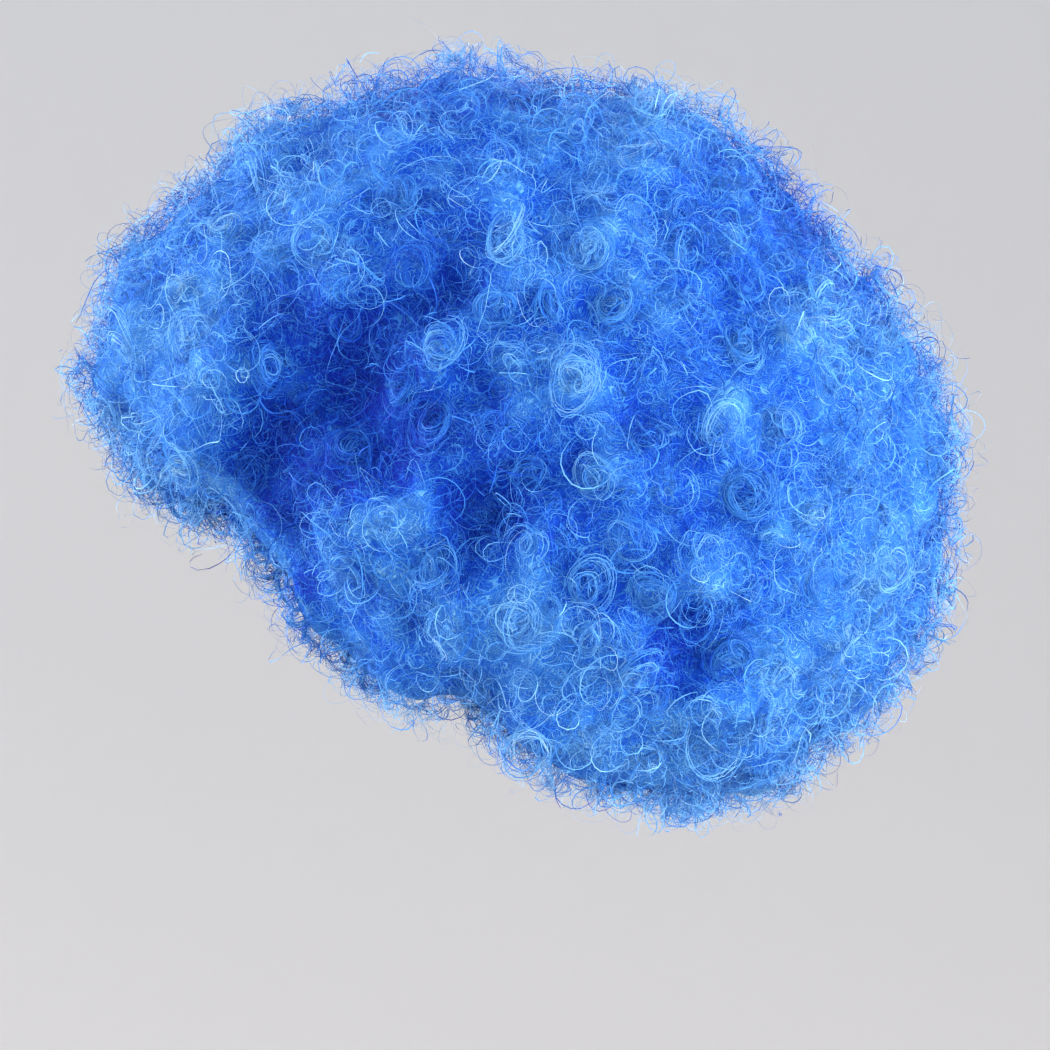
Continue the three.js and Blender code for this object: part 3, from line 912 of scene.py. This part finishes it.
class Nodes:
    """A material's node tree, built a node at a time."""

    def __init__(self, name):
        self.material = bpy.data.materials.new(name)
        self.material.use_nodes = True
        self.tree = self.material.node_tree
        self.shader = self.tree.nodes["Principled BSDF"]

    def add(self, kind, inputs=(), **settings):
        node = self.tree.nodes.new(kind)
        for key, value in settings.items():
            setattr(node, key, value)
        for key, value in dict(inputs).items():
            self.put(node, key, value)
        return node

    def put(self, node, key, value):
        if isinstance(value, bpy.types.NodeSocket):
            self.tree.links.new(value, node.inputs[key])
        else:
            node.inputs[key].default_value = value

    def ramp(self, factor, stops):
        node = self.add("ShaderNodeValToRGB", {"Fac": factor})
        elements = node.color_ramp.elements
        while len(elements) < len(stops):
            elements.new(1.0)
        for element, (place, colour) in zip(elements, stops):
            element.position = place
            element.color = (*colour, 1)
        return node.outputs["Color"]

    def maths(self, operation, first, second=0.0):
        return self.add("ShaderNodeMath", {0: first, 1: second}, operation=operation).outputs[0]

    def mixed(self, parts):
        """The sum of some values, each times its weight."""
        total = 0.0
        for value, weight in parts:
            total = self.maths("ADD", self.maths("MULTIPLY", value, weight), total)
        return total

    def place(self, shift=(0, 0, 0)):
        where = self.add("ShaderNodeNewGeometry").outputs["Position"]
        return self.add("ShaderNodeVectorMath", {0: where, 1: shift}, operation="ADD").outputs["Vector"]

    def noise(self, scale, detail=2.0, shift=(0, 0, 0), **inputs):
        settings = {"Vector": self.place(shift), "Scale": scale, "Detail": detail, **inputs}
        return self.add("ShaderNodeTexNoise", settings).outputs["Fac"]

    def faded(self, value, low, high, **settings):
        """A value, spread from 0 at a low one to 1 at a high one."""
        inputs = {"Value": value, "From Min": low, "From Max": high}
        return self.add("ShaderNodeMapRange", inputs, **settings).outputs["Result"]

    def strands(self, scale, lines, shift):
        """Thin curled lines in bundles: the level lines of a soft noise, fading in and out."""
        field = self.noise(scale, 1.5, shift, Distortion=0.5)
        wave = self.maths("SINE", self.maths("MULTIPLY", field, lines))
        line = self.faded(wave, LINE_FROM, 1.0, interpolation_type="SMOOTHSTEP")
        fade = self.faded(self.noise(scale * FADE_FINER, 1.0, shift), *FADE_RANGE)
        return self.maths("MULTIPLY", line, fade)

    def tint(self):
        """The three values that each point of the hair carries: shade, height and level."""
        colour = self.add("ShaderNodeAttribute", attribute_name="tint").outputs["Color"]
        parts = self.add("ShaderNodeSeparateColor", {"Color": colour}).outputs
        return parts["Red"], parts["Green"], parts["Blue"]

    def surface(self, colour, roughness, specular):
        self.put(self.shader, "Base Color", colour)
        self.put(self.shader, "Roughness", roughness)
        self.put(self.shader, "Specular IOR Level", specular)

    def bumps(self, height, strength, distance):
        bump = self.add("ShaderNodeBump", {"Strength": strength, "Distance": distance, "Height": height})
        self.put(self.shader, "Normal", bump.outputs["Normal"])


def fibre_material(name, weights):
    """Dyed synthetic fibre: every strand has its own shade, and painted shade makes those low down and in the dents
    darker.
    """
    nodes = Nodes(name)
    shade, height, level = nodes.tint()
    cloud = nodes.noise(FIBRE_CLOUD, detail=3.0)
    total = nodes.mixed(zip((shade, height, level, cloud), weights))
    nodes.surface(nodes.ramp(total, FIBRE_TONES), roughness=0.55, specular=0.2)
    nodes.put(nodes.shader, "Specular Tint", FIBRE_GLOSS)
    nodes.put(nodes.shader, "Sheen Weight", 0.06)
    nodes.put(nodes.shader, "Sheen Tint", FIBRE_SHEEN)
    return nodes.material


def body_material():
    """The dense fibre between the curls: a fine tangle of strands, with painted shade darkening the dents and the gaps.
    """
    nodes = Nodes("hair_depth")
    _, height, level = nodes.tint()
    bundles = nodes.strands(scale=55.0, lines=210.0, shift=(0.3, 0.1, 0.2))
    crossing = nodes.strands(scale=85.0, lines=165.0, shift=(1.7, 0.9, 2.3))
    fine = nodes.strands(scale=150.0, lines=110.0, shift=(3.1, 4.2, 1.3))
    lines = nodes.maths("MAXIMUM", nodes.maths("MAXIMUM", bundles, crossing), fine)
    fuzz = nodes.noise(BODY_FUZZ, detail=1.0)
    cloud = nodes.noise(BODY_CLOUD, detail=3.0)
    total = nodes.mixed(zip((lines, height, level, fuzz, cloud), BODY_WEIGHTS))
    nodes.surface(nodes.ramp(total, BODY_TONES), roughness=0.75, specular=0.1)
    nodes.bumps(lines, strength=0.7, distance=0.0006)
    return nodes.material


def net_material():
    """Stretch net: a fine mesh of small knitted cells."""
    nodes = Nodes("cap_net")
    holes = nodes.add("ShaderNodeTexVoronoi", {"Vector": nodes.place(), "Scale": NET_SCALE}).outputs["Distance"]
    nodes.surface(nodes.ramp(holes, NET_TONES), roughness=0.85, specular=0.1)
    nodes.bumps(holes, strength=0.7, distance=0.0006)
    return nodes.material


def elastic_material():
    """Ribbed elastic: fine ribs along the band."""
    nodes = Nodes("elastic")
    inputs = {"Vector": nodes.place(), "Scale": RIB_SCALE, "Distortion": 0.6, "Detail": 1.0}
    ribs = nodes.add("ShaderNodeTexWave", inputs, bands_direction="Z").outputs["Fac"]
    nodes.surface(nodes.ramp(ribs, ELASTIC_TONES), roughness=0.8, specular=0.1)
    nodes.bumps(ribs, strength=0.6, distance=0.0005)
    return nodes.material


def soft_wall(node, name, material):
    """A CAD wall as smooth cloth."""
    piece = copy_of_node(node, name)
    baked(piece, [("SUBSURF", {"levels": 1, "render_levels": 1})])
    piece.data.shade_smooth()
    finish_piece(piece, material, node)


def finish_piece(piece, material, node):
    """Gives a piece its material, attaches it to the root body, and hides the CAD node that it replaces."""
    piece.data.materials.clear()
    piece.data.materials.append(material)
    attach(piece, "root")
    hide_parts(node)


def paper_material():
    """Pale matt paper, painted darker on the floor as shade, and palest at the bend as painted light."""
    nodes = Nodes("paper")
    up = nodes.add("ShaderNodeSeparateXYZ", {"Vector": nodes.place()}).outputs["Z"]
    grain = nodes.maths("MULTIPLY", nodes.noise(scale=6.0), PAPER_GRAIN)
    tone = nodes.maths("ADD", nodes.faded(up, STAGE_FLOOR, PAPER_TOP), grain)
    nodes.surface(nodes.ramp(tone, PAPER_TONES), roughness=0.9, specular=0.1)
    return nodes.material


def stage_bowl():
    """A pale floor that curves up into a wall all round."""
    flat = STAGE_RADIUS - STAGE_BEND
    profile = [(flat, STAGE_FLOOR)]
    for step in range(1, STAGE_STEPS + 1):
        angle = math.pi / 2 * step / STAGE_STEPS
        profile.append((flat + STAGE_BEND * math.sin(angle), STAGE_FLOOR + STAGE_BEND * (1 - math.cos(angle))))
    profile.append((STAGE_RADIUS, STAGE_TOP))
    vertices = [(0, 0, STAGE_FLOOR)]
    faces = []
    for row, (out, up) in enumerate(profile):
        for side in range(STAGE_SIDES):
            angle = 2 * math.pi * side / STAGE_SIDES
            vertices.append((out * math.cos(angle), out * math.sin(angle), up))
            here = 1 + row * STAGE_SIDES + side
            beside = 1 + row * STAGE_SIDES + (side + 1) % STAGE_SIDES
            if row:
                faces.append((here, beside, beside - STAGE_SIDES, here - STAGE_SIDES))
            else:
                faces.append((0, here, beside))
    mesh = bpy.data.meshes.new("backdrop")
    mesh.from_pydata(vertices, [], faces)
    mesh.shade_smooth()
    bowl = add_object("backdrop", mesh)
    mesh.materials.append(paper_material())


def light_scene():
    """Soft lights and an even sky."""
    for lamp in LIGHTS:
        data = bpy.data.lights.new(lamp["name"], "AREA")
        data.shape = "RECTANGLE"
        data.size, data.size_y = lamp["size"]
        data.energy = lamp["watts"]
        data.spread = math.radians(lamp["spread"])
        light = add_object(lamp["name"], data)
        light.location = lamp["place"]
        aim = Vector(lamp["aim"]) - Vector(lamp["place"])
        light.rotation_euler = aim.to_track_quat("-Z", "Y").to_euler()
    world = bpy.data.worlds.new("studio")
    world.use_nodes = True
    sky = world.node_tree.nodes["Background"]
    sky.inputs["Color"].default_value = SKY
    sky.inputs["Strength"].default_value = SKY_STRENGTH
    bpy.context.scene.world = world
    bpy.context.scene.view_settings.view_transform = "Standard"


def hair():
    """The coat of curls, layer by layer."""
    body = make_body()
    coat = Coat(body)
    tufts = Tufts(coat, np.random.default_rng(TUFT_SEED))
    raise_tufts(coat, tufts, body)
    finish_piece(body, body_material(), "hair")

    curl = fibre_material("curl_fibre", CURL_WEIGHTS)
    loose = fibre_material("loose_fibre", LOOSE_WEIGHTS)
    under = fibre_material("under_fibre", UNDER_WEIGHTS)
    order = np.arange(tufts.ringlets)
    clear = tufts.clear[order] > CLEAR_FROM
    layers = [
        (make_ringlets(coat, tufts, "ringlets_clear", order[clear]), curl),
        (make_ringlets(coat, tufts, "ringlets_hazy", order[~clear]), curl),
        (make_bent_locks(coat), curl),
        (make_rim_curls(coat), curl),
        (make_tangle(coat, "undercoat"), under),
        (make_tangle(coat, "frizz_1"), loose),
        (make_tangle(coat, "frizz_2"), loose),
        (make_flyaways(coat), loose),
    ]
    for piece, material in layers:
        finish_piece(piece, material, "hair")


add_camera()
light_scene()
stage_bowl()
soft_wall("cap", "cap_cloth", net_material())
soft_wall("edge_band", "band_cloth", elastic_material())
hair()
